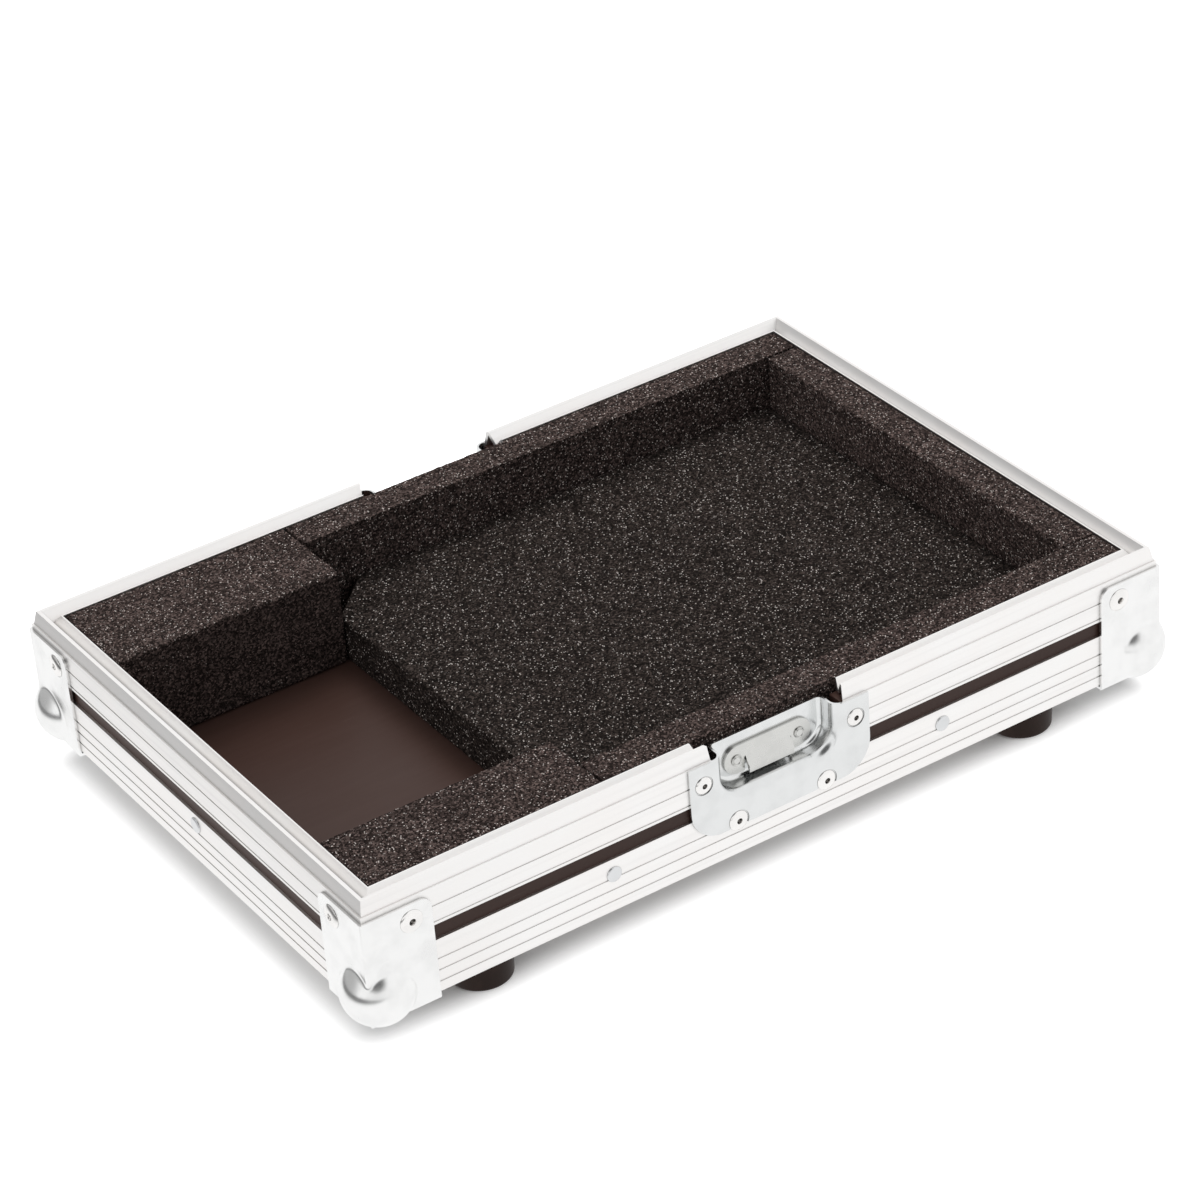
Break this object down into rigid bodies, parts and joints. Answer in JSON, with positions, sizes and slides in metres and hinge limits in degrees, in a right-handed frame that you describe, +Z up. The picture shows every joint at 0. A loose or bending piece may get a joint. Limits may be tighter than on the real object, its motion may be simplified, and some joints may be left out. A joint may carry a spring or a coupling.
{
  "type": "flight case base",
  "caption": "Shallow plywood flight case base with aluminium edges, ball corners, recessed latch catches, rubber feet and a foam tray for a desk-top device.",
  "frame": {"origin": "middle of the case on the surface that the rubber feet stand on", "axes": "+X along the front edge to the right, +Y from the front to the back, +Z up"},
  "size_m": [0.4776, 0.3316, 0.0839],
  "materials": {
    "film_faced_plywood": "smooth dark brown phenolic film, satin",
    "aluminium": "natural extruded aluminium, fine lengthwise grain",
    "zinc_plated_steel": "bright zinc plate, semi-gloss",
    "rivet_metal": "bright, semi-gloss",
    "screw_steel": "zinc plated",
    "rubber": "matt black-brown",
    "foam": "open-cell foam, matt charcoal"
  },
  "bodies": {
    "root": {"angle_rivets": "rivet_metal", "back_edge_angle": "aluminium", "back_foam_strip": "foam", "back_keeper": "zinc_plated_steel", "back_latch_dish": "zinc_plated_steel", "back_left_ball_corner": "zinc_plated_steel", "back_left_foam_block": "foam", "back_left_foot": "rubber", "back_panel": "film_faced_plywood", "back_right_ball_corner": "zinc_plated_steel", "back_right_foot": "rubber", "back_rim_left": "aluminium", "back_rim_right": "aluminium", "bottom_panel": "film_faced_plywood", "corner_rivets": "rivet_metal", "device_foam_pad": "foam", "foot_screws": "screw_steel", "foot_washers": "screw_steel", "front_edge_angle": "aluminium", "front_foam_strip": "foam", "front_keeper": "zinc_plated_steel", "front_latch_dish": "zinc_plated_steel", "front_left_ball_corner": "zinc_plated_steel", "front_left_foam_block": "foam", "front_left_foot": "rubber", "front_panel": "film_faced_plywood", "front_right_ball_corner": "zinc_plated_steel", "front_right_foot": "rubber", "front_rim_left": "aluminium", "front_rim_right": "aluminium", "keeper_rivets": "rivet_metal", "latch_rivets": "rivet_metal", "left_edge_angle": "aluminium", "left_panel": "film_faced_plywood", "left_rim": "aluminium", "right_edge_angle": "aluminium", "right_foam_strip": "foam", "right_panel": "film_faced_plywood", "right_rim": "aluminium"}
  },
  "joints": []
}
